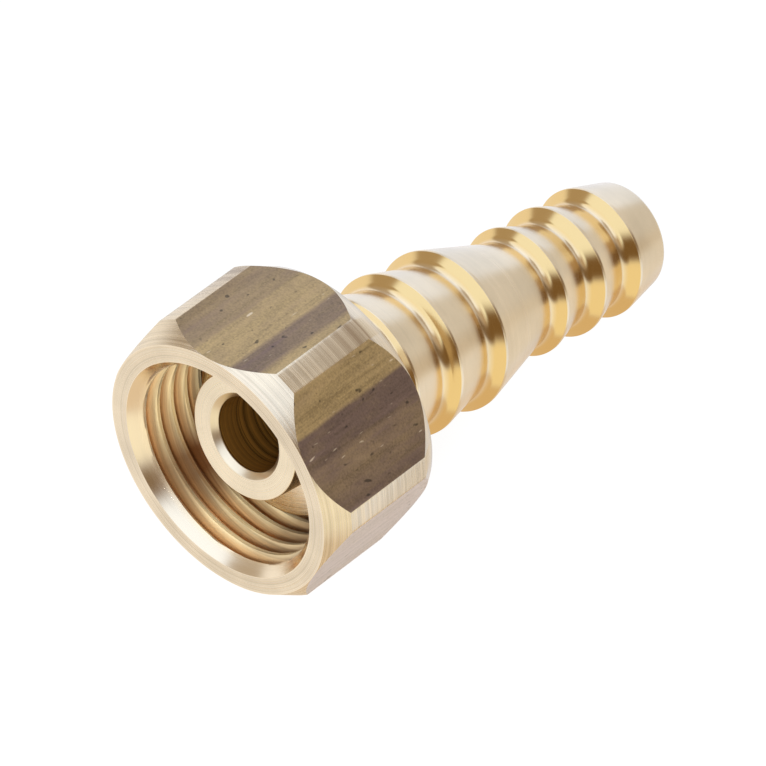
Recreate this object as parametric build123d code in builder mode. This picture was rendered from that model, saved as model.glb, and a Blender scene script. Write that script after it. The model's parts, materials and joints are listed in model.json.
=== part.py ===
"""Hose barb tail with a loose hexagon union nut.

Two turned pieces in one frame, in millimetres. The nut lies on one of its
flats with its axis level along Y and its mouth facing -Y. The tail hangs in
the nut's rear hole and droops until the last barb stands on the same plane
as the nut, so the whole part rests on Z = 0. X = 0 is the mirror plane.
"""
import math
import os

from build123d import *

os.makedirs("parts", exist_ok=True)

# --- union nut ---------------------------------------------------------------
across_flats = 19.0          # spanner size
corner_radius = 10.5         # corners are turned off to this radius
nut_length = 10.6
front_chamfer = 1.62         # axial length of the cone at the mouth
rear_chamfer = 1.75          # axial length of the cone at the back
thread_minor_radius = 7.475  # crest radius of the internal G 3/8 thread
thread_major_radius = 8.331
countersink_radius = 8.2     # opening of the mouth on the flat face
countersink_depth = 0.9
thread_end = 6.7             # depth where the run-out groove starts
rear_wall = 2.0
rear_hole_radius = 5.95      # passes the large barbs, stops the collar
rear_hole_chamfer = 0.3

# --- hose tail, along its own axis from the nose face --------------------------
nose_radius = 4.56
nose_edge = 0.15
bore_radius = 2.7
bore_chamfer = 0.4
collar_start = 3.33
collar_length = 1.2
collar_radius = 7.0
collar_edge = 0.15
neck_radius = 5.42
crest_land = 0.22            # narrow cylindrical land on every crest
stop_x = 10.80               # low rim behind the nut, the end of its free travel
stop_radius = 5.72
stop_step = 0.34             # axial length of the short cone up to the rim
flank_angle = 55             # slope of the steep face up to every crest
hollow_reach = 0.55          # how far a hollow runs out on its cone and its flank
# crest position, crest radius, and the radius where the cone and the flank in
# front of the crest would meet without their hollow
barbs = [
    (15.02, 5.83, 4.92),
    (19.60, 5.80, 4.89),
    (27.22, 4.66, 3.80),
    (31.10, 4.72, 3.69),
    (34.84, 4.72, 3.74),
]
tail_length = 38.4
tip_radius = 3.95            # radius of the end cone where its edge is broken
tip_edge = 0.3
back_bore_edge = 0.2

# --- how the two pieces lie ----------------------------------------------------
nose_recess = 2.74           # nose centre behind the plane of the mouth
nose_lift = 1.13             # nose centre above the axis of the nut

half_flats = across_flats / 2
land_x = barbs[-1][0] + crest_land
land_r = barbs[-1][1]
nose_height = half_flats + nose_lift
# The last barb touches Z = 0 when x sin(d) + r cos(d) equals the nose height.
droop = math.asin(nose_height / math.hypot(land_x, land_r)) - math.atan2(land_r, land_x)

# Y of the mouth is chosen so that the bounding box is centred on Y = 0.
tip_y = (nose_recess + tail_length * math.cos(droop)
         + (tip_radius - tip_edge) * math.sin(droop))
mouth_y = -tip_y / 2


def barb_profile():
    """Closed half section of the tail: X along the axis, Y the radius."""
    collar_end = collar_start + collar_length
    with BuildLine() as outline:
        Polyline(
            (bore_chamfer, bore_radius),
            (0, bore_radius + bore_chamfer),
            (0, nose_radius - nose_edge),
            (nose_edge, nose_radius),
            (collar_start, nose_radius),
            (collar_start, collar_radius - collar_edge),
            (collar_start + collar_edge, collar_radius),
            (collar_end - collar_edge, collar_radius),
            (collar_end, collar_radius - collar_edge),
            (collar_end, neck_radius),
            (stop_x - stop_step, neck_radius),
            (stop_x, stop_radius),
            (stop_x + crest_land, stop_radius),
        )
        previous = (stop_x + crest_land, stop_radius)
        for crest_x, crest_r, foot_r in barbs:
            # a long cone down, a hollow, and a steep flank up to the crest
            crest = Vector(crest_x, crest_r)
            foot_x = crest_x - (crest_r - foot_r) / math.tan(math.radians(flank_angle))
            foot = Vector(foot_x, foot_r)
            cone_end = foot + (Vector(*previous) - foot).normalized() * hollow_reach
            flank_start = foot + (crest - foot).normalized() * hollow_reach
            Line(previous, cone_end)
            Bezier(cone_end, foot, flank_start)
            Line(flank_start, crest)
            previous = (crest_x + crest_land, crest_r)
            Line(crest, previous)
        Polyline(
            previous,
            (tail_length - tip_edge, tip_radius),
            (tail_length, tip_radius - tip_edge),
            (tail_length, bore_radius + back_bore_edge),
            (tail_length - back_bore_edge, bore_radius),
            (bore_chamfer, bore_radius),
        )
    return outline.line


def nut_bore_profile():
    """Half section of everything cut out of the nut: X along the axis."""
    with BuildLine() as outline:
        Polyline(
            (-1, 0),
            (-1, countersink_radius),
            (0, countersink_radius),
            (countersink_depth, thread_minor_radius),
            (thread_end, thread_minor_radius),
            (thread_end + 0.35, thread_major_radius + 0.05),
            (nut_length - rear_wall, thread_major_radius + 0.05),
            (nut_length - rear_wall, rear_hole_radius),
            (nut_length - rear_hole_chamfer, rear_hole_radius),
            (nut_length, rear_hole_radius + rear_hole_chamfer),
            (nut_length + 1, rear_hole_radius + rear_hole_chamfer),
            (nut_length + 1, 0),
            (-1, 0),
        )
    return outline.line


def nut_envelope_profile():
    """Half section of the turned outside: both end cones meet the flats."""
    with BuildLine() as outline:
        Polyline(
            (0, 0),
            (0, half_flats),
            (front_chamfer, corner_radius),
            (nut_length - rear_chamfer, corner_radius),
            (nut_length, half_flats),
            (nut_length, 0),
            (0, 0),
        )
    return outline.line


mouth = Vector(0, mouth_y, half_flats)
nut_plane = Plane(origin=mouth, x_dir=(0, 1, 0), z_dir=(1, 0, 0))
nut_axis = Axis(mouth, (0, 1, 0))

nose = Vector(0, mouth_y + nose_recess, nose_height)
tail_dir = Vector(0, math.cos(droop), -math.sin(droop))
tail_plane = Plane(origin=nose, x_dir=tail_dir, z_dir=(1, 0, 0))
tail_axis = Axis(nose, tail_dir)

# --- union nut: hexagon bar, turned outside, bored inside -----------------------
with BuildPart() as union_nut:
    with BuildSketch(Plane(origin=mouth, x_dir=(1, 0, 0), z_dir=(0, 1, 0))):
        RegularPolygon(radius=half_flats, side_count=6, major_radius=False, rotation=0)
    extrude(amount=nut_length)
    with BuildSketch(nut_plane):
        with BuildLine():
            add(nut_envelope_profile())
        make_face()
    revolve(axis=nut_axis, mode=Mode.INTERSECT)
    with BuildSketch(nut_plane):
        with BuildLine():
            add(nut_bore_profile())
        make_face()
    revolve(axis=nut_axis, mode=Mode.SUBTRACT)
union_nut.part.label = "union_nut"

# --- hose tail: one turned piece ------------------------------------------------
with BuildPart() as hose_tail:
    with BuildSketch(tail_plane):
        with BuildLine():
            add(barb_profile())
        make_face()
    revolve(axis=tail_axis)
hose_tail.part.label = "hose_tail"

export_step(union_nut.part, "parts/union_nut.step")
export_step(hose_tail.part, "parts/hose_tail.step")

for name, piece in (("union_nut", union_nut.part), ("hose_tail", hose_tail.part)):
    box = piece.bounding_box()
    print(name, [round(v, 4) for v in (*box.min, *box.max)], "volume", round(piece.volume, 3))
print("droop", round(math.degrees(droop), 4), "mouth_y", round(mouth_y, 4),
      "nose", [round(v, 4) for v in nose], "dir", [round(v, 6) for v in tail_dir])
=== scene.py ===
"""Brass hose barb tail with its union nut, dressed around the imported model.

The nut and the tail are modelled here again at the sizes of the solids, the
nut with its real helical thread and the tail with its lands and tool marks.
"""

import json
import math

import bpy
from mathutils import Matrix, Vector


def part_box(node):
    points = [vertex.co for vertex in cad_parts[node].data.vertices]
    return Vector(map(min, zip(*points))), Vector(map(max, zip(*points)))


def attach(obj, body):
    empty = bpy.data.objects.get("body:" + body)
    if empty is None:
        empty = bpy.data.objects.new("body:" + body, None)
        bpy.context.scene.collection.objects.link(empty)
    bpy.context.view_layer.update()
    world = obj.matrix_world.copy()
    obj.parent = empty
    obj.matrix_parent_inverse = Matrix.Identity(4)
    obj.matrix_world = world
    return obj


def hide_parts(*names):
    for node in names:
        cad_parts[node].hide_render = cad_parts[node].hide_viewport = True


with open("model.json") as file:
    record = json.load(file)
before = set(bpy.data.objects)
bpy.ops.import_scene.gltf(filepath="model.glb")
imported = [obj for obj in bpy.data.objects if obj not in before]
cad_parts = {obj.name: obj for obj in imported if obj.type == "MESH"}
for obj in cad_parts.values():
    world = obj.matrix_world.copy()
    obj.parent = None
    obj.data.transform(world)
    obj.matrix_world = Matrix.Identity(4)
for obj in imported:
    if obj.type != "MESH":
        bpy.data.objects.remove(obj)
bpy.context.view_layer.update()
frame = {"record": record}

bl_info = {
    "name": "Hose barb tail",
    "version": (1, 0, 0),
    "blender": (4, 5, 0),
    "location": "View3D > Sidebar > Hose tail",
    "description": "Models a brass hose tail with a threaded union nut",
    "category": "Add Mesh",
}

MM = 0.001
TURNS = 288                  # facets around a turned surface
WELD = 1e-7                  # distance within which a spun outline is welded
NUT_AXIS = Vector((0, 1, 0))


# --- sizes and places ------------------------------------------------------------

def mount(name):
    """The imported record's mount of that name."""
    return next(m for m in frame["record"]["mounts"] if m["name"] == name)


NUT_LOW, NUT_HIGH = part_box("union_nut")
NUT_MOUTH = Vector((0, NUT_LOW.y, (NUT_LOW.z + NUT_HIGH.z) / 2))
TAIL_AXIS = Vector(mount("flow_bore")["axis"]).normalized()
FLOW_HALF_WAY = 19.2 * MM    # from the nose face to the middle of the flow bore
NOSE = Vector(mount("flow_bore")["pos_m"]) - TAIL_AXIS * FLOW_HALF_WAY


def millimetres(name, description, value):
    """A length that the panel shows, given in millimetres."""
    return bpy.props.FloatProperty(
        name=name, description=description, default=value * MM, unit="LENGTH", precision=5)


def paint(name, description, value):
    """A colour that the panel shows."""
    return bpy.props.FloatVectorProperty(
        name=name, description=description, default=value, subtype="COLOR")


class NutSizes(bpy.types.PropertyGroup):
    """Sizes of the union nut."""

    across_flats: millimetres("Across flats", "Spanner size", 19)
    corner_radius: millimetres(
        "Corner radius", "Radius that the corners are turned off to", 10.5)
    length: millimetres("Length", "Length of the nut along its axis", 10.6)
    front_chamfer: millimetres(
        "Front chamfer", "Axial length of the cone at the mouth", 1.62)
    rear_chamfer: millimetres("Rear chamfer", "Axial length of the cone at the back", 1.75)
    crest_radius: millimetres(
        "Thread crest radius", "Smallest radius of the internal thread", 7.475)
    root_radius: millimetres(
        "Thread root radius", "Largest radius of the internal thread", 8.331)
    pitch: millimetres("Thread pitch", "Advance of the thread in one turn", 1.337)
    thread_end: millimetres("Thread end", "Depth where the run-out groove starts", 6.7)
    countersink_radius: millimetres(
        "Countersink radius", "Radius of the mouth on the flat face", 8.2)
    countersink_depth: millimetres(
        "Countersink depth", "Depth where the cone meets the crests", 0.9)
    rear_wall: millimetres("Rear wall", "Thickness of the wall that holds the collar", 2.0)
    rear_hole_radius: millimetres(
        "Rear hole radius", "Radius of the hole in the rear wall", 5.95)
    edge_break: millimetres("Edge break", "Width of the broken edges on the outside", 0.05)


class TailSizes(bpy.types.PropertyGroup):
    """Sizes of the hose tail, along its own axis from the nose face."""

    nose_radius: millimetres("Nose radius", "Outer radius of the nose", 4.56)
    bore_radius: millimetres("Bore radius", "Radius of the flow bore", 2.7)
    bore_chamfer: millimetres("Bore chamfer", "Chamfer at the mouth of the bore", 0.4)
    collar_start: millimetres(
        "Collar start", "Distance of the collar from the nose face", 3.33)
    collar_length: millimetres("Collar length", "Thickness of the collar", 1.2)
    collar_radius: millimetres("Collar radius", "Outer radius of the collar", 7.0)
    neck_radius: millimetres(
        "Neck radius", "Radius of the neck in the nut's rear hole", 5.42)
    length: millimetres("Length", "Whole length of the tail", 38.4)
    tip_radius: millimetres(
        "Tip radius", "Radius where the rounding of the tip starts", 3.95)
    tip_round: millimetres("Tip round", "Rounding of the tip", 0.35)
    flank_angle: bpy.props.FloatProperty(
        name="Flank angle", description="Slope of the steep face up to every crest",
        default=math.radians(55), unit="ROTATION")
    hollow: millimetres("Hollow", "Reach of the hollow on its cone and its flank", 0.55)
    crest_land: millimetres("Crest land", "Width of the narrow land on every barb", 0.22)


class BrassColours(bpy.types.PropertyGroup):
    """Colours of the finishes."""

    nut: paint("Nut", "Turned faces of the nut", (0.90, 0.76, 0.55))
    # Partly stain, partly painted shade and reflection: the turned corners darken towards the
    # rear.
    corners: paint(
        "Corners", "Stain towards the rear of the turned corners", (0.42, 0.31, 0.20))
    thread: paint("Thread crests", "Crests and flanks of the thread", (1.0, 0.80, 0.44))
    # Painted shade: the roots of the thread get this darker, warmer colour in place of the
    # shade in their creases.
    groove: paint("Thread grooves", "Stained grooves of the thread", (0.84, 0.43, 0.14))
    # Partly stain, partly painted shade and reflection: the darkest colour of one sector of
    # the thread, strongest deep in the nut.
    dark_stain_and_shade: paint(
        "Thread stain", "Darkest stain deep in the thread", (0.14, 0.042, 0.009))
    cones: paint(
        "Cones", "Turned cones, collar and nose of the tail", (0.90, 0.76, 0.54))
    # Partly polish, partly painted reflection: the deeper gold of the hollow faces stands in
    # for light bounced between the hollow and the cone.
    barbs: paint("Barb faces", "Polished hollow faces of the barbs", (0.80, 0.57, 0.25))
    # Painted shade: the bore's colour is darkened because little light reaches into the deep
    # hole.
    bore: paint("Bore", "Drilled wall of the flow bore", (0.34, 0.155, 0.028))
    olive: paint(
        "Olive patina", "Tarnish on the flats of the nut", (0.485, 0.345, 0.155))
    umber: paint(
        "Umber patina", "Purplish brown bands on the flats", (0.18, 0.118, 0.09))
    # Painted sheen: the third flat is paled as if it mirrored the table at a grazing angle.
    painted_sheen: paint("Worn patina", "Flat that is rubbed pale", (0.66, 0.61, 0.64))


# Rim behind the nut, in millimetres: its place, its radius and the length of
# the short cone up to it.
STOP_RIM = (10.80, 5.72, 0.34)
# Barbs of the tail, in millimetres: the place of the crest, its radius and the
# radius where the cone and the steep flank in front of it would meet.
BARBS = (
    (15.02, 5.83, 4.92),
    (19.60, 5.80, 4.89),
    (27.22, 4.66, 3.80),
    (31.10, 4.72, 3.69),
    (34.84, 4.72, 3.74),
)


# --- mesh helpers ------------------------------------------------------------------

def deselect_all():
    """Leaves nothing selected and no mode open."""
    if bpy.context.object and bpy.context.object.mode != "OBJECT":
        bpy.ops.object.mode_set(mode="OBJECT")
    bpy.ops.object.select_all(action="DESELECT")


def only(piece):
    """Makes one piece the selected and active one."""
    deselect_all()
    piece.select_set(True)
    bpy.context.view_layer.objects.active = piece


def settle(piece):
    """Puts the object's place into its mesh."""
    only(piece)
    bpy.ops.object.transform_apply(location=True, rotation=True, scale=True)


def apply_modifiers(piece):
    """Applies every modifier of a piece, in order."""
    only(piece)
    for modifier in list(piece.modifiers):
        bpy.ops.object.modifier_apply(modifier=modifier.name)


def spun(name, outline, origin, axis):
    """A closed half section spun into a solid of revolution.

    The outline is a list of (distance along the axis, radius).
    """
    deselect_all()
    bpy.ops.mesh.primitive_circle_add(vertices=len(outline), radius=1, fill_type="NOTHING")
    piece = bpy.context.object
    piece.name = name
    up = Vector((1, 0, 0)).cross(axis).normalized()
    for vertex, (along, radius) in zip(piece.data.vertices, outline):
        vertex.co = origin + axis * along + up * radius
    bpy.ops.object.mode_set(mode="EDIT")
    bpy.ops.mesh.select_all(action="SELECT")
    bpy.ops.mesh.spin(steps=TURNS, angle=math.tau, center=origin, axis=axis,
                      use_auto_merge=True)
    bpy.ops.mesh.select_all(action="SELECT")
    bpy.ops.mesh.remove_doubles(threshold=WELD)
    bpy.ops.mesh.normals_make_consistent(inside=False)
    bpy.ops.object.mode_set(mode="OBJECT")
    return piece


def cut(piece, tool, operation):
    """Applies a boolean with a tool that is then thrown away."""
    modifier = piece.modifiers.new("cut", "BOOLEAN")
    modifier.object = tool
    modifier.operation = operation
    modifier.solver = "EXACT"
    apply_modifiers(piece)
    bpy.data.objects.remove(tool)


def smooth(piece, degrees):
    """Smooth shading that keeps edges sharper than that angle."""
    only(piece)
    bpy.ops.object.shade_smooth_by_angle(angle=math.radians(degrees))


# --- the nut -------------------------------------------------------------------------

THREAD_FLANK = math.radians(27.5)
THREAD_ROUNDING = 0.10       # of the pitch, at the root of the thread
# Phases at which the thread's surface has a row of vertices: the two edges of
# the crest, straight flanks and a finer step around the root.
CREST_SHARE = 0.20
THREAD_PHASES = (0.40, 0.50, 0.60, 0.66, 0.72, 0.78, 0.83, 0.87, 0.90, 0.93, 0.965, 1.0,
                 1.035, 1.07, 1.10, 1.13, 1.17, 1.22, 1.28, 1.34)
THREAD_PHASE = 0.53          # turns the start of the thread to its place


def thread_depth(sizes, phase):
    """Depth of the thread under its crest at a phase, 0.5 being mid-crest."""
    height = sizes.root_radius - sizes.crest_radius
    steepness = sizes.pitch / math.tan(THREAD_FLANK)
    flank = steepness * max(abs(phase % 1.0 - 0.5) - CREST_SHARE / 2, 0.0)
    rounding = THREAD_ROUNDING * sizes.pitch
    gap = height - flank
    floor = height - 0.5 * (gap + math.hypot(gap, rounding))
    top = height - 0.5 * (height + math.hypot(height, rounding))
    return height * (floor - top) / (height - top)


def bore_core(sizes):
    """The closed shape that is cut out of the nut: mouth, thread, relief, hole.

    A grid is rolled into a tube. Its threaded rows climb by one pitch in a
    turn, so that every one stays at one phase of the thread, and are held
    between the mouth and the end of the thread.
    """
    run_out = 0.35 * MM
    lead_in = (0.35 * MM, 1.45 * MM)
    relief = sizes.root_radius + 0.05 * MM
    inner_face = sizes.length - sizes.rear_wall
    hole_edge = 0.3 * MM
    beyond = 1 * MM
    slope = (sizes.countersink_radius - sizes.crest_radius) / sizes.countersink_depth
    climbs = [(lap + phase - THREAD_PHASE) * sizes.pitch
              for lap in range(-2, int(sizes.thread_end / sizes.pitch) + 2)
              for phase in THREAD_PHASES]
    rows = [("ring", -beyond, sizes.countersink_radius)]
    rows += [("climb", climb, None) for climb in climbs]
    rows += [
        ("ring", sizes.thread_end + run_out, relief),
        ("ring", inner_face, relief),
        ("ring", inner_face, sizes.rear_hole_radius),
        ("ring", sizes.length - hole_edge, sizes.rear_hole_radius),
        ("ring", sizes.length, sizes.rear_hole_radius + hole_edge),
        ("ring", sizes.length + beyond, sizes.rear_hole_radius + hole_edge),
    ]

    def threaded(along, turn):
        """Radius of the threaded wall, with its cone and its shallow first turn."""
        cone = sizes.countersink_radius - slope * along
        share = min(max((along - lead_in[0]) / (lead_in[1] - lead_in[0]), 0.0), 1.0)
        share = share * share * (3 - 2 * share)
        depth = thread_depth(sizes, along / sizes.pitch - turn + THREAD_PHASE)
        return max(cone, sizes.crest_radius + depth * share)

    deselect_all()
    last = len(rows) - 1
    bpy.ops.mesh.primitive_grid_add(x_subdivisions=TURNS, y_subdivisions=last, size=1)
    core = bpy.context.object
    core.name = "bore_core"
    for vertex in core.data.vertices:
        turn = vertex.co.x + 0.5
        kind, along, reach = rows[round((vertex.co.y + 0.5) * last)]
        if kind == "climb":
            along = min(max(along + turn * sizes.pitch, 0.0), sizes.thread_end)
            reach = threaded(along, turn)
        angle = math.tau * turn
        vertex.co = NUT_MOUTH + Vector((
            reach * math.sin(angle), along, reach * math.cos(angle)))
    bpy.ops.object.mode_set(mode="EDIT")
    bpy.ops.mesh.select_all(action="SELECT")
    bpy.ops.mesh.remove_doubles(threshold=2 * WELD)
    bpy.ops.mesh.select_all(action="DESELECT")
    bpy.ops.mesh.select_mode(type="EDGE")
    bpy.ops.mesh.select_non_manifold()
    bpy.ops.mesh.fill_holes(sides=0)
    bpy.ops.mesh.select_all(action="SELECT")
    bpy.ops.mesh.normals_make_consistent(inside=False)
    bpy.ops.object.mode_set(mode="OBJECT")
    return core


SHARPEST_SMOOTH = math.radians(14)   # edges sharper than this are broken


def model_nut(sizes):
    """Hexagon bar, turned outside, bored and threaded inside."""
    half = sizes.across_flats / 2
    deselect_all()
    bpy.ops.mesh.primitive_cylinder_add(
        vertices=6, radius=half / math.cos(math.pi / 6), depth=sizes.length,
        location=NUT_MOUTH + Vector((0, sizes.length / 2, 0)),
        rotation=(math.pi / 2, 0, 0))
    nut = bpy.context.object
    nut.name = "nut_body"
    settle(nut)
    if nut_has_corner_up(nut):
        nut.data.transform(Matrix.Translation(NUT_MOUTH)
                           @ Matrix.Rotation(math.pi / 6, 4, "Y")
                           @ Matrix.Translation(-NUT_MOUTH))
    envelope = spun("envelope", [
        (0, 0), (0, half), (sizes.front_chamfer, sizes.corner_radius),
        (sizes.length - sizes.rear_chamfer, sizes.corner_radius),
        (sizes.length, half), (sizes.length, 0),
    ], NUT_MOUTH, NUT_AXIS)
    cut(nut, envelope, "INTERSECT")
    bevel = nut.modifiers.new("edges", "BEVEL")
    bevel.width = sizes.edge_break
    bevel.segments = 2
    bevel.limit_method = "ANGLE"
    bevel.angle_limit = SHARPEST_SMOOTH
    bevel.use_clamp_overlap = True
    apply_modifiers(nut)
    cut(nut, bore_core(sizes), "DIFFERENCE")
    return nut


def nut_has_corner_up(nut):
    """True where the hexagon's highest point is a corner."""
    top = max(v.co.z for v in nut.data.vertices)
    return sum(1 for v in nut.data.vertices if top - v.co.z < 1e-6) < 4


def finish_slots(nut, sizes):
    """Sends every face of the nut to its finish: flats, turned outside, inside."""
    half = sizes.across_flats / 2
    flats, outside, inside = range(3)
    level, near = 0.9998, 0.02 * MM
    for face in nut.data.polygons:
        place = face.center - NUT_MOUTH
        side = math.radians(60 * round(math.atan2(place.x, place.z) / math.radians(60)))
        middle = Vector((math.sin(side), 0, math.cos(side)))
        inward = face.normal.dot(Vector((place.x, 0, place.z)).normalized()) < -0.05
        if face.normal.dot(middle) > level and abs(place.dot(middle) - half) < near:
            face.material_index = flats
        else:
            face.material_index = inside if inward else outside


# --- the tail ------------------------------------------------------------------------

def blended(before, corner, after, size, steps=4):
    """A corner of the half section rounded off between its two neighbours."""
    before, corner, after = Vector(before), Vector(corner), Vector(after)
    start = corner + (before - corner).normalized() * size
    end = corner + (after - corner).normalized() * size
    points = []
    for i in range(steps + 1):
        t = i / steps
        points.append(tuple((1 - t) ** 2 * start + 2 * t * (1 - t) * corner + t * t * end))
    return points


def tail_outline(sizes):
    """Closed half section of the tail: distance along the axis and radius."""
    stop_x, stop_r, stop_step = (v * MM for v in STOP_RIM)
    fine = 0.03 * MM
    # Every corner: distance, radius, size of its rounding, steps of the rounding.
    corners = [
        (sizes.bore_chamfer, sizes.bore_radius, fine, 3),
        (0, sizes.bore_radius + sizes.bore_chamfer, fine, 3),
        (0, sizes.nose_radius, 0.12 * MM, 5),
        (sizes.collar_start, sizes.nose_radius, 0.05 * MM, 3),
        (sizes.collar_start, sizes.collar_radius, 0.15 * MM, 4),
        (sizes.collar_start + sizes.collar_length, sizes.collar_radius, 0.15 * MM, 4),
        (sizes.collar_start + sizes.collar_length, sizes.neck_radius, 0.1 * MM, 3),
        (stop_x - stop_step, sizes.neck_radius, 0.12 * MM, 4),
        (stop_x, stop_r, 0.04 * MM, 3),
        (stop_x + sizes.crest_land, stop_r, 0.06 * MM, 4),
    ]
    for crest_x, crest_r, foot_r in BARBS:
        crest_x, crest_r, foot_r = crest_x * MM, crest_r * MM, foot_r * MM
        foot_x = crest_x - (crest_r - foot_r) / math.tan(sizes.flank_angle)
        corners += [
            (foot_x, foot_r, sizes.hollow, 14),
            (crest_x, crest_r, 0.03 * MM, 4),
            (crest_x + sizes.crest_land, crest_r, 0.05 * MM, 4),
        ]
    back_edge = 0.2 * MM
    corners += [
        (sizes.length, sizes.tip_radius, sizes.tip_round, 8),
        (sizes.length, sizes.bore_radius + back_edge, fine, 3),
        (sizes.length - back_edge, sizes.bore_radius, fine, 3),
    ]
    outline = []
    for i, (x, r, size, steps) in enumerate(corners):
        outline += blended(corners[i - 1][:2], (x, r), corners[(i + 1) % len(corners)][:2],
                           size, steps)
    return outline


def model_tail(sizes):
    """One turned piece, spun about its own axis."""
    return spun("tail_body", tail_outline(sizes), NOSE, TAIL_AXIS)


def finish_tail(tail, sizes):
    """Sends every face of the tail to its finish: nose, barbs, bore."""
    nose, barbs, bore = range(3)
    barbs_start = (STOP_RIM[0] - 1) * MM
    for face in tail.data.polygons:
        place = face.center - NOSE
        along = place.dot(TAIL_AXIS)
        reach = (place - TAIL_AXIS * along).length
        if reach < sizes.bore_radius + 1e-6 and 0 < along < sizes.length:
            face.material_index = bore
        else:
            face.material_index = barbs if along > barbs_start else nose


# --- materials -----------------------------------------------------------------------

class Wire:
    """An output of a node; arithmetic on it adds Math nodes."""

    def __init__(self, book, socket):
        self.book = book
        self.socket = socket

    def __add__(self, other):
        return self.book.math("ADD", self, other)

    __radd__ = __add__

    def __sub__(self, other):
        return self.book.math("SUBTRACT", self, other)

    def __rsub__(self, other):
        return self.book.math("SUBTRACT", other, self)

    def __mul__(self, other):
        return self.book.math("MULTIPLY", self, other)

    __rmul__ = __mul__

    def __truediv__(self, other):
        return self.book.math("DIVIDE", self, other)

    def __pow__(self, other):
        return self.book.math("POWER", self, other)


class Finish:
    """The nodes of a material, made by its name, or of a world."""

    def __init__(self, owner):
        self.owner = bpy.data.materials.new(owner) if isinstance(owner, str) else owner
        self.owner.use_nodes = True
        self.tree = self.owner.node_tree
        self.tree.nodes.clear()

    def node(self, kind, settings=None, values=None):
        """One node: its settings are set first, then its sockets."""
        node = self.tree.nodes.new(kind)
        for key, value in (settings or {}).items():
            if key == "stops":
                fill_ramp(node.color_ramp, value)
            else:
                setattr(node, key, value)
        for key, value in (values or {}).items():
            socket = node.inputs[key]
            if isinstance(value, Wire):
                self.tree.links.new(value.socket, socket)
            else:
                socket.default_value = value
        return node

    def wire(self, kind, settings=None, values=None, output=0):
        """One output of a new node."""
        return Wire(self, self.node(kind, settings, values).outputs[output])

    def math(self, operation, first, second=0.0):
        """A Math node that no operator stands for."""
        return self.wire("ShaderNodeMath", {"operation": operation}, {0: first, 1: second})

    def mix(self, share, first, second):
        """Two colours mixed by a share."""
        return self.wire("ShaderNodeMix", {"data_type": "RGBA"},
                         {0: share, 6: colour(first), 7: colour(second)}, 2)

    def span(self, value, low, high, start=0.0, end=1.0):
        """A value mapped from one range to another and held within it."""
        return self.wire("ShaderNodeMapRange", {}, {
            "Value": value, "From Min": low, "From Max": high,
            "To Min": start, "To Max": end})

    def multiplied(self, first, second):
        """Two colours multiplied."""
        return self.wire("ShaderNodeMix", {"data_type": "RGBA", "blend_type": "MULTIPLY"},
                         {0: 1.0, 6: colour(first), 7: second}, 2)

    def ramp(self, value, stops):
        """A smooth remap of a value through grey stops (place, level)."""
        return self.wire("ShaderNodeValToRGB", {
            "stops": [(place, (level, level, level, 1)) for place, level in stops]},
            {0: value})

    def noise(self, vector, scale, detail=2.0, roughness=0.5):
        """Grey noise on a vector."""
        return self.wire("ShaderNodeTexNoise", {}, {
            "Vector": vector, "Scale": scale, "Detail": detail, "Roughness": roughness})

    def line_noise(self, along, scale, detail=2.0, roughness=0.6):
        """Noise that changes along one value only."""
        return self.wire("ShaderNodeTexNoise", {"noise_dimensions": "1D"}, {
            "W": along, "Scale": scale, "Detail": detail, "Roughness": roughness})

    def local(self, origin, axis):
        """Object coordinates moved to an origin, with Y laid along an axis."""
        turn = Vector((0, 1, 0)).rotation_difference(axis).inverted()
        place = -(turn @ origin)
        point = self.wire("ShaderNodeTexCoord", {}, {}, 3)
        return self.wire("ShaderNodeMapping", {}, {
            "Vector": point, "Location": place, "Rotation": turn.to_euler()})

    def split(self, vector):
        """The three parts of a vector."""
        node = self.node("ShaderNodeSeparateXYZ", {}, {0: vector})
        return [Wire(self, node.outputs[i]) for i in range(3)]

    def join(self, x, y, z):
        """A vector from three values."""
        return self.wire("ShaderNodeCombineXYZ", {}, {0: x, 1: y, 2: z})

    def banded(self, local, bands, start, period, shift=0.0):
        """Levels at angles around Y, in degrees, repeated every period from a start."""
        x, _, z = self.split(local)
        turn = self.math("ARCTAN2", x, z) * math.degrees(1) + shift
        place = self.math("FLOORED_MODULO", turn - start, period) / period
        return self.ramp(place, [((at - start) / period, level) for at, level in bands])

    def bump(self, height, distance):
        """A normal bent by a height."""
        return self.wire("ShaderNodeBump", {}, {
            "Height": height, "Distance": distance, "Strength": 1.0})

    def surface(self, shader):
        """Sends a shader to the output."""
        kind = "Material" if isinstance(self.owner, bpy.types.Material) else "World"
        output = self.node("ShaderNodeOutput" + kind)
        self.tree.links.new(shader.socket, output.inputs["Surface"])
        return self.owner


def fill_ramp(ramp, stops):
    """Sets a colour ramp's stops."""
    while len(ramp.elements) > 1:
        ramp.elements.remove(ramp.elements[-1])
    for i, (place, value) in enumerate(stops):
        element = ramp.elements[0] if i == 0 else ramp.elements.new(place)
        element.position = place
        element.color = value


def colour(value):
    """A colour as a socket takes it."""
    if isinstance(value, Wire):
        return value
    return (*tuple(value)[:3], 1.0)


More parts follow.
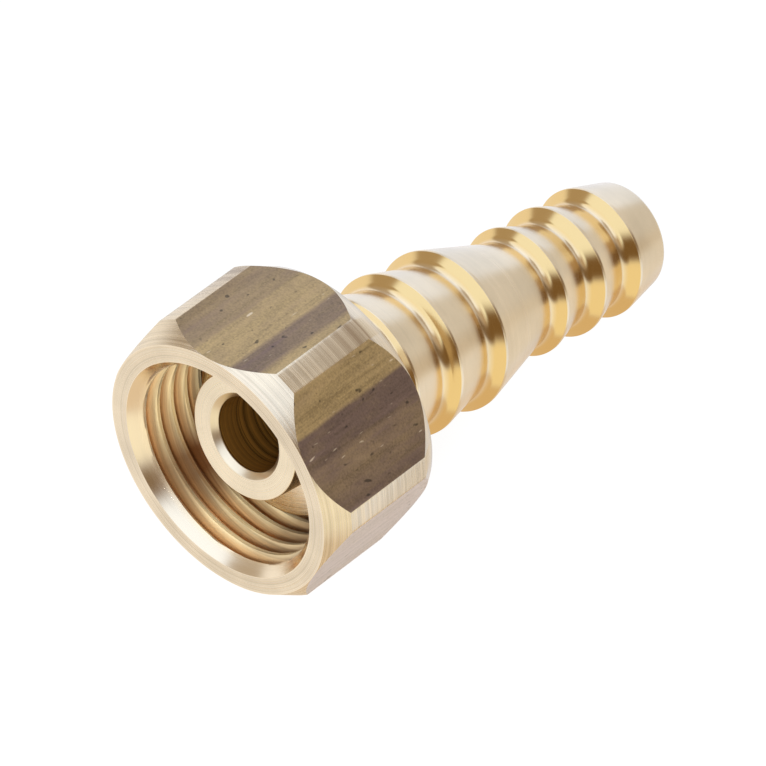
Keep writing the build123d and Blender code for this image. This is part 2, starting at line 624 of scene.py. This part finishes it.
def turned_brass(name, origin, axis, base, marks, roughness, clouds=0.1, lines=0.4):
    """Lathe-turned brass with fine tool marks around its axis.

    Marks is their height, clouds how dark the tone gets, and lines the share of
    the tone that follows the marks. Gives the finish and its parts by name, to
    be changed before its shader is made.
    """
    finish = Finish(name)
    local = finish.local(origin, axis)
    x, y, z = finish.split(local)
    radius = (x * x + z * z) ** 0.5
    fine = finish.line_noise(y + radius, 11000, 2.0)
    coarse = finish.line_noise(y + radius, 2600, 3.0, 0.7)
    patchy = finish.noise(local, 260, 3.0)
    tone = finish.ramp(patchy * (1.0 - lines) + coarse * lines,
                       [(0.36, 1.0 - clouds), (0.62, 1.0)])
    rough = finish.span(fine * 0.5 + coarse * 0.5, 0.3, 0.7,
                        roughness * 0.8, roughness * 1.25)
    return finish, {
        "local": local, "along": y, "radius": radius, "rough": rough, "metal": 1.0,
        "base": finish.multiplied(base, tone), "tone": tone,
        "height": fine * 0.4 + coarse * 0.6, "marks": marks}


def brass_shader(finish, parts):
    """The shader of a turned finish, from its parts."""
    return finish.surface(finish.wire("ShaderNodeBsdfPrincipled", {}, {
        "Base Color": parts["base"], "Metallic": parts["metal"],
        "Roughness": parts["rough"], "Normal": finish.bump(parts["height"], parts["marks"])}))


def plain_brass(*basics, metal=1.0, **more):
    """Turned brass without anything added."""
    finish, parts = turned_brass(*basics, **more)
    parts["metal"] = metal
    return brass_shader(finish, parts)


def barbed_brass(name, origin, axis, base, polish_and_reflection, gloss, *basics, **more):
    """Turned brass whose steps that face back along the axis are polished, and tinted a
    deeper gold as a painted reflection of light bounced inside the hollows.
    """
    finish, parts = turned_brass(name, origin, axis, base, *basics, **more)
    facing = finish.wire("ShaderNodeVectorMath", {"operation": "DOT_PRODUCT"}, {
        0: finish.wire("ShaderNodeTexCoord", {}, {}, 1), 1: tuple(axis)}, 1)
    share = finish.span(facing * -1.0, 0.10, 0.70)
    # Painted reflection: the steep faces that face back are tinted a deeper gold.
    parts["base"] = finish.mix(share, parts["base"], polish_and_reflection)
    parts["rough"] = parts["rough"] + (gloss - parts["rough"]) * share
    parts["height"] = parts["height"] * (1.0 - share * 0.96)
    return brass_shader(finish, parts)


# Levels at angles around the nut, in degrees from the middle of its top flat.
# How clear the thread is of its dark colour, which is partly stain and partly painted shade
# and reflection.
THREAD_STAIN_AND_SHADE = ((145, 0.45), (168, 0.50), (181, 1.0), (202, 1.0), (214, 0.38),
                (225, 0.07), (236, 0.05), (247, 0.55), (262, 0.88), (290, 0.90),
                (340, 0.60))
# The outside repeats over three neighbouring flats and their corners.
BANDS_START, BANDS_PERIOD = -30.0, 180.0
# How dark the corners are: partly stain, partly painted shade and reflection.
CORNER_STAIN_AND_SHADE = ((51, 1.0), (69, 0.0), (123, 0.0), (141, 1.0))
# The share of umber in the olive of the flats.
BANDS = ((-26, 0.50), (-9, 0.42), (-7.5, 0.10), (9, 0.06), (11.5, 0.80), (20, 0.72),
         (22.5, 0.10), (49, 0.08), (50.5, 1.0), (63, 0.98), (66, 0.70), (78, 0.72),
         (83, 0.95), (95, 0.3), (110, 0.2), (128, 0.75), (140, 0.3))
# How much painted sheen lies on the third flat: the pale of the table mirrored at a grazing
# angle.
PAINTED_SHEEN_BANDS = ((87.9, 0.0), (92.4, 1.0), (147.3, 1.0), (150, 0.0))


def threaded_brass(name, colours, sizes, *basics, **more):
    """The nut's inside: a thread that starts behind the countersink, with painted shade in
    its roots and a dark sector that is partly stain and partly painted shade and reflection.
    """
    finish, parts = turned_brass(name, NUT_MOUTH, NUT_AXIS, colours.nut, *basics, **more)
    inside = finish.span(parts["along"], 0.6 * sizes.countersink_depth,
                         1.5 * sizes.countersink_depth)
    deep = finish.span(parts["radius"], sizes.crest_radius + 0.08 * MM,
                       sizes.root_radius - 0.08 * MM)
    # Partly stain, partly painted shade and reflection: one sector of the thread darkens,
    # more so deeper in the nut, where the recess is shaded.
    clear_of_stain_and_shade = finish.banded(parts["local"], THREAD_STAIN_AND_SHADE, 0.0, 360.0)
    depth = finish.span(parts["along"], 0.15 * sizes.length, 0.4 * sizes.length, 0.55, 1.0)
    # Painted shade: the colour darkens from the crests into the roots of the thread.
    tint = finish.mix(deep, colours.thread, colours.groove)
    tint = finish.multiplied(tint, parts["tone"])
    tint = finish.mix((1.0 - clear_of_stain_and_shade) * depth, tint, colours.dark_stain_and_shade)
    parts["base"] = finish.mix(inside, colours.nut, tint)
    parts["metal"] = 1.0 - inside * 0.5
    return brass_shader(finish, parts)


def cornered_brass(name, colours, sizes, *basics, **more):
    """The nut's outside, its corners darker towards the rear, all but two of them: partly
    stain, partly painted shade and reflection.
    """
    finish, parts = turned_brass(name, NUT_MOUTH, NUT_AXIS, colours.nut, *basics, **more)
    corner = finish.banded(parts["local"], CORNER_STAIN_AND_SHADE, BANDS_START, BANDS_PERIOD)
    outer = finish.span(parts["radius"], sizes.corner_radius - 0.3 * MM,
                        sizes.corner_radius - 0.1 * MM)
    rear = finish.span(parts["along"], 0.36 * sizes.length, 0.78 * sizes.length)
    stripes = finish.line_noise(parts["along"], 1900, 3.0, 0.7)
    patchy = finish.span(stripes, 0.36, 0.6, 0.45, 1.0)
    # Partly stain, partly painted shade and reflection: the corners darken towards the rear
    # of the nut.
    parts["base"] = finish.mix(corner * outer * rear * patchy, parts["base"],
                               colours.corners)
    return brass_shader(finish, parts)


def patina(name, colours):
    """Tarnished drawn bar: bands and streaks along it, pits and pale specks, and a painted
    sheen on the third flat.
    """
    finish = Finish(name)
    local = finish.local(NUT_MOUTH, NUT_AXIS)
    x, y, z = finish.split(local)
    waver = finish.noise(finish.join(x, y * 0.35, z), 230, 2.0)
    sway = (waver - 0.5) * 5.0
    share = finish.banded(local, BANDS, BANDS_START, BANDS_PERIOD, sway)
    painted_sheen = finish.banded(local, PAINTED_SHEEN_BANDS, BANDS_START, BANDS_PERIOD, sway)
    streaks = finish.noise(finish.join(x, y * 0.04, z), 2600, 4.0, 0.7)
    clouds = finish.noise(finish.join(x, y * 0.4, z), 900, 3.0, 0.6)
    grain = finish.noise(local, 6500, 2.0, 0.6)
    blend = finish.span(share + (streaks - 0.5) * 0.9 + (clouds - 0.5) * 0.7, 0.0, 1.0)
    base = finish.mix(blend, colours.olive, colours.umber)
    # Painted sheen: the third flat is paled towards this colour.
    base = finish.mix(painted_sheen * 0.85, base, colours.painted_sheen)
    light = finish.ramp(streaks * 0.6 + grain * 0.4,
                        [(0.36, 0.62), (0.5, 0.95), (0.66, 1.25)])
    base = finish.multiplied(base, light)
    pits = finish.noise(finish.join(x, y * 0.7, z), 1900, 1.0)
    base = finish.multiplied(base, finish.ramp(pits, [(0.70, 1.0), (0.76, 0.35)]))
    specks = finish.noise(finish.join(x * 2.5, y * 0.6, z * 2.5), 1500, 0.0)
    base = finish.mix(finish.ramp(specks, [(0.80, 0.0), (0.86, 0.6)]), base, colours.nut)
    rough = finish.span(streaks, 0.3, 0.7, 0.36, 0.52)
    normal = finish.bump(streaks * 0.6 + grain * 0.4, 0.014 * MM)
    shader = finish.wire("ShaderNodeBsdfPrincipled", {}, {
        "Base Color": base, "Metallic": 0.75, "Roughness": rough, "Normal": normal,
        "Coat Weight": 0.6, "Coat Roughness": 0.35})
    return finish.surface(shader)


def floor_finish():
    """White floor for the camera, with a trace of the object's shadow."""
    finish = Finish("floor")
    rays = finish.node("ShaderNodeLightPath")
    seen = Wire(finish, rays.outputs["Is Camera Ray"])
    matt = finish.wire("ShaderNodeBsdfDiffuse", {}, {"Color": (0.9, 0.9, 0.9, 1)})
    glow = finish.wire("ShaderNodeEmission", {}, {"Color": (1, 1, 1, 1), "Strength": 0.94})
    shaded = finish.wire("ShaderNodeBsdfDiffuse", {}, {"Color": (0.1, 0.1, 0.1, 1)})
    both = finish.wire("ShaderNodeAddShader", {}, {0: glow, 1: shaded})
    shader = finish.wire("ShaderNodeMixShader", {}, {0: seen, 1: matt, 2: both})
    return finish.surface(shader)


# --- operators -----------------------------------------------------------------------

class HOSETAIL_OT_nut(bpy.types.Operator):
    """Models the union nut with its internal thread"""

    bl_idname = "hosetail.nut"
    bl_label = "Union nut"

    def execute(self, context):
        sizes = context.scene.hosetail_nut
        colours = context.scene.hosetail_colours
        nut = model_nut(sizes)
        for material in (
            patina("nut_flats", colours),
            cornered_brass("nut_turned", colours, sizes, 0.030 * MM, 0.26,
                           clouds=0.26, lines=0.6),
            threaded_brass("nut_inside", colours, sizes, 0.008 * MM, 0.22,
                           clouds=0.5, lines=0.85),
        ):
            nut.data.materials.append(material)
        finish_slots(nut, sizes)
        smooth(nut, 30)
        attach(nut, "nut")
        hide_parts("union_nut")
        return {"FINISHED"}


class HOSETAIL_OT_tail(bpy.types.Operator):
    """Models the barbed hose tail"""

    bl_idname = "hosetail.tail"
    bl_label = "Hose tail"

    def execute(self, context):
        colours = context.scene.hosetail_colours
        tail = model_tail(context.scene.hosetail_tail)
        for material in (
            plain_brass("tail_nose", NOSE, TAIL_AXIS, colours.cones, 0.007 * MM, 0.27,
                        clouds=0.15),
            barbed_brass("tail_barbs", NOSE, TAIL_AXIS, colours.cones, colours.barbs,
                         0.13, 0.002 * MM, 0.22, clouds=0.14, lines=0.2),
            # Painted shade: the bore wall's colour is darkened for the unlit hole.
            plain_brass("bore_wall", NOSE, TAIL_AXIS, colours.bore, 0.024 * MM, 0.30,
                        clouds=0.6, lines=0.8, metal=0.7),
        ):
            tail.data.materials.append(material)
        finish_tail(tail, context.scene.hosetail_tail)
        smooth(tail, 30)
        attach(tail, "tail")
        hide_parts("hose_tail")
        return {"FINISHED"}


CAMERA_TURN = math.radians(44.144)
CAMERA_RISE = math.radians(39.421)
CAMERA_ROLL = math.radians(-3.366)
CAMERA_DISTANCE = 0.5262
CAMERA_SENSOR = 36
CAMERA_LENS = 375.98
AIM = NUT_MOUTH + Vector((5.7918, 10.1461, 3.9501)) * MM
LAMP_PLACE = NUT_MOUTH + Vector((90, -112, 75)) * MM
LAMP_SIZE = 40 * MM
LAMP_POWER = 0.28


def add_camera():
    """The camera, looking at the aim point from its distance."""
    back = Vector((math.sin(CAMERA_TURN) * math.cos(CAMERA_RISE),
                   -math.cos(CAMERA_TURN) * math.cos(CAMERA_RISE),
                   math.sin(CAMERA_RISE)))
    level = Vector((math.cos(CAMERA_TURN), math.sin(CAMERA_TURN), 0))
    upright = back.cross(level)
    right = level * math.cos(CAMERA_ROLL) + upright * math.sin(CAMERA_ROLL)
    up = upright * math.cos(CAMERA_ROLL) - level * math.sin(CAMERA_ROLL)
    bpy.ops.object.camera_add()
    camera = bpy.context.object
    camera.matrix_world = Matrix.Translation(AIM + back * CAMERA_DISTANCE) @ Matrix(
        (right, up, back)).transposed().to_4x4()
    camera.data.lens = CAMERA_LENS
    camera.data.sensor_width = CAMERA_SENSOR
    camera.data.clip_start = 0.01
    bpy.context.scene.camera = camera


def add_lamp():
    """A soft lamp that lights the nut's mouth and isn't mirrored in the metal."""
    bpy.ops.object.light_add(type="AREA", location=LAMP_PLACE)
    lamp = bpy.context.object
    lamp.name = "mouth_lamp"
    lamp.data.shape = "DISK"
    lamp.data.size = LAMP_SIZE
    lamp.data.energy = LAMP_POWER
    lamp.rotation_mode = "QUATERNION"
    lamp.rotation_quaternion = (NUT_MOUTH - LAMP_PLACE).to_track_quat("-Z", "Y")
    lamp.visible_glossy = False


class HOSETAIL_OT_stage(bpy.types.Operator):
    """Adds the floor, the sky, the camera and the lamp"""

    bl_idname = "hosetail.stage"
    bl_label = "Stage"

    def execute(self, context):
        deselect_all()
        bpy.ops.mesh.primitive_plane_add(size=3, location=(0, 0, 0))
        floor = context.object
        floor.name = "floor"
        floor.data.materials.append(floor_finish())
        floor.visible_glossy = False
        add_sky()
        add_camera()
        add_lamp()
        context.scene.view_settings.view_transform = "Standard"
        return {"FINISHED"}


# The surroundings as the metal sees them: each window or screen covers a range
# of azimuth (0 in front of the mouth, positive to the right) and of elevation,
# in degrees, fades over some degrees and has a colour. Later ones lie on top.
SKY_BASE = (0.84, 0.84, 0.90)
SKY_PANELS = (
    ("ceiling", (-200, 200), (46, 100), 8, (1.15, 1.26, 1.50)),
    ("far wall", (137, 200), (-18, 40), 14, (0.74, 0.71, 0.69)),
    ("far wall left", (-200, -171), (-18, 40), 14, (0.74, 0.71, 0.69)),
    ("back window", (-172, -118), (-34, 44), 9, (0.93, 1.00, 1.18)),
    ("far table", (152, 200), (-46, -7), 8, (0.87, 0.81, 0.74)),
    ("side table", (124, 150), (-56, -16), 8, (0.98, 1.04, 1.20)),
    ("far screen", (128, 157), (-14, 4), 9, (0.56, 0.47, 0.37)),
    ("ceiling gap", (116, 170), (44, 73), 12, (0.52, 0.45, 0.38)),
    ("left screen", (-136, -47), (14, 46), 7, (0.50, 0.42, 0.34)),
    ("front window", (-47, 44), (10, 52), 8, (1.15, 1.30, 1.60)),
    ("right wall", (62, 136), (24, 46), 9, (0.56, 0.46, 0.36)),
    ("right screen", (3, 144), (0, 26), 12, (0.22, 0.14, 0.07)),
    ("table front", (-136, -5), (-46, 12), 8, (1.04, 1.03, 1.05)),
    ("table right", (-4, 130), (-46, -3), 8, (1.08, 1.04, 0.90)),
    ("table near", (-200, 200), (-100, -47), 8, (0.84, 0.70, 0.54)),
)


def add_sky():
    """Surroundings for the metal, plain white for the camera."""
    world = bpy.data.worlds.new("sky")
    bpy.context.scene.world = world
    sky = Finish(world)
    direction = sky.wire("ShaderNodeTexCoord", {}, {}, 0)
    x, y, z = sky.split(direction)
    azimuth = sky.math("ARCTAN2", x, y * -1.0) * math.degrees(1)
    elevation = sky.math("ARCSINE", z) * math.degrees(1)

    def inside(value, low, high, fade):
        """1 between two values, fading outside them."""
        edges = {"interpolation_type": "SMOOTHSTEP"}
        rise = sky.wire("ShaderNodeMapRange", edges, {
            "Value": value, "From Min": low - fade / 2, "From Max": low + fade / 2})
        fall = sky.wire("ShaderNodeMapRange", edges, {
            "Value": value, "From Min": high - fade / 2, "From Max": high + fade / 2,
            "To Min": 1.0, "To Max": 0.0})
        return rise * fall

    tint = SKY_BASE
    for _, turn, rise, fade, panel in SKY_PANELS:
        share = inside(azimuth, *turn, fade) * inside(elevation, *rise, fade)
        tint = sky.mix(share, tint, panel)
    shade = sky.wire("ShaderNodeBackground", {}, {"Color": tint, "Strength": 1.0})
    plain = sky.wire("ShaderNodeBackground", {}, {"Color": (1, 1, 1, 1), "Strength": 1.0})
    rays = sky.node("ShaderNodeLightPath")
    seen = Wire(sky, rays.outputs["Is Camera Ray"])
    sky.surface(sky.wire("ShaderNodeMixShader", {}, {0: seen, 1: shade, 2: plain}))


class HOSETAIL_PT_panel(bpy.types.Panel):
    """Lists the pieces and the sizes."""

    bl_label = "Hose tail"
    bl_idname = "HOSETAIL_PT_panel"
    bl_space_type = "VIEW_3D"
    bl_region_type = "UI"
    bl_category = "Hose tail"

    def draw(self, context):
        layout = self.layout
        for operator in (HOSETAIL_OT_nut, HOSETAIL_OT_tail, HOSETAIL_OT_stage):
            layout.operator(operator.bl_idname)
        for group in ("hosetail_nut", "hosetail_tail", "hosetail_colours"):
            values = getattr(context.scene, group)
            box = layout.box()
            for key in values.bl_rna.properties.keys():
                if key not in {"rna_type", "name"}:
                    box.prop(values, key)


CLASSES = (
    NutSizes, TailSizes, BrassColours, HOSETAIL_OT_nut, HOSETAIL_OT_tail,
    HOSETAIL_OT_stage, HOSETAIL_PT_panel,
)


def register():
    """Registers the classes and hangs the sizes on the scene."""
    for item in CLASSES:
        bpy.utils.register_class(item)
    bpy.types.Scene.hosetail_nut = bpy.props.PointerProperty(type=NutSizes)
    bpy.types.Scene.hosetail_tail = bpy.props.PointerProperty(type=TailSizes)
    bpy.types.Scene.hosetail_colours = bpy.props.PointerProperty(type=BrassColours)


def unregister():
    """Takes the sizes and the classes away again."""
    del bpy.types.Scene.hosetail_colours
    del bpy.types.Scene.hosetail_tail
    del bpy.types.Scene.hosetail_nut
    for item in reversed(CLASSES):
        bpy.utils.unregister_class(item)


def main():
    """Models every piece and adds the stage."""
    register()
    bpy.ops.hosetail.tail()
    bpy.ops.hosetail.nut()
    bpy.ops.hosetail.stage()


if __name__ == "__main__":
    main()
